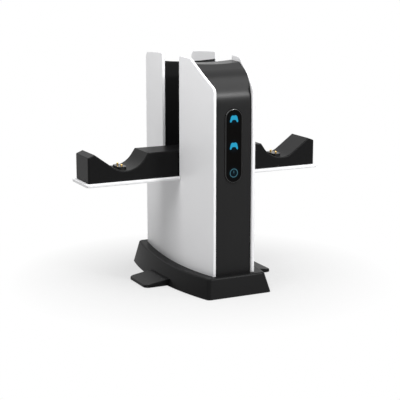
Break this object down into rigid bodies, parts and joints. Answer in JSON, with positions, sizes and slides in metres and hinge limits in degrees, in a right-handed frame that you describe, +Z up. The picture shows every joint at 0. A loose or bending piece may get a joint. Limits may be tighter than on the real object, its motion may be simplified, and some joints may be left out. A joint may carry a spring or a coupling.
{
  "type": "controller charging dock",
  "caption": "Charging dock for game controllers: slim tower on a weighted base, with a lit front window and a saddle cradle with sprung contacts on each side.",
  "frame": {"origin": "on the floor under the middle of the base", "axes": "+X to the viewer's right along the arms, -Y to the front, +Z up"},
  "size_m": [0.196, 0.1306, 0.1727],
  "materials": {
    "white_plastic": "satin moulded white",
    "black_plastic": "fine-grained moulded black",
    "contact_plastic": "smooth moulded black",
    "window_plastic": "polished smoked black",
    "guide_plastic": "white light guide",
    "led": "clear",
    "circuit_board": "solder mask",
    "steel": "zinc plated",
    "spring_steel": "plain",
    "gold_contact": "gold plated",
    "rubber": "matt"
  },
  "bodies": {
    "dock": {"left_panel": "white_plastic", "right_panel": "white_plastic", "left_tray": "white_plastic", "right_tray": "white_plastic", "base_shell": "black_plastic", "base_plate": "black_plastic", "front_cover": "black_plastic", "rear_cover": "black_plastic", "core_frame": "black_plastic", "left_cradle": "black_plastic", "right_cradle": "black_plastic", "left_contact_block": "contact_plastic", "right_contact_block": "contact_plastic", "inlet_tongue": "contact_plastic", "charge_parts": "contact_plastic", "indicator_board": "circuit_board", "main_board": "circuit_board", "left_contact_board": "circuit_board", "right_contact_board": "circuit_board", "ballast_plate": "steel", "base_screws": "steel", "tower_screws": "steel", "cradle_screws": "steel", "tray_screws": "steel", "board_screws": "steel", "contact_screws": "steel", "inlet_shell": "steel", "left_front_spring": "spring_steel", "left_rear_spring": "spring_steel", "right_front_spring": "spring_steel", "right_rear_spring": "spring_steel", "indicator_lens": "window_plastic", "light_guide": "guide_plastic", "indicator_leds": "led", "rubber_feet": "rubber"},
    "left_front_contact": {"left_front_pin": "gold_contact"},
    "left_rear_contact": {"left_rear_pin": "gold_contact"},
    "right_front_contact": {"right_front_pin": "gold_contact"},
    "right_rear_contact": {"right_rear_pin": "gold_contact"}
  },
  "joints": [
    {"name": "left_front_press", "type": "slide", "parent": "dock", "child": "left_front_contact", "axis": [0, 0, -1], "range_m": [0, 0.001], "stiffness_N_per_m": 600, "springref_m": -0.0005, "deforming": ["left_front_spring"]},
    {"name": "left_rear_press", "type": "slide", "parent": "dock", "child": "left_rear_contact", "axis": [0, 0, -1], "range_m": [0, 0.001], "stiffness_N_per_m": 600, "springref_m": -0.0005, "deforming": ["left_rear_spring"]},
    {"name": "right_front_press", "type": "slide", "parent": "dock", "child": "right_front_contact", "axis": [0, 0, -1], "range_m": [0, 0.001], "stiffness_N_per_m": 600, "springref_m": -0.0005, "deforming": ["right_front_spring"]},
    {"name": "right_rear_press", "type": "slide", "parent": "dock", "child": "right_rear_contact", "axis": [0, 0, -1], "range_m": [0, 0.001], "stiffness_N_per_m": 600, "springref_m": -0.0005, "deforming": ["right_rear_spring"]}
  ]
}
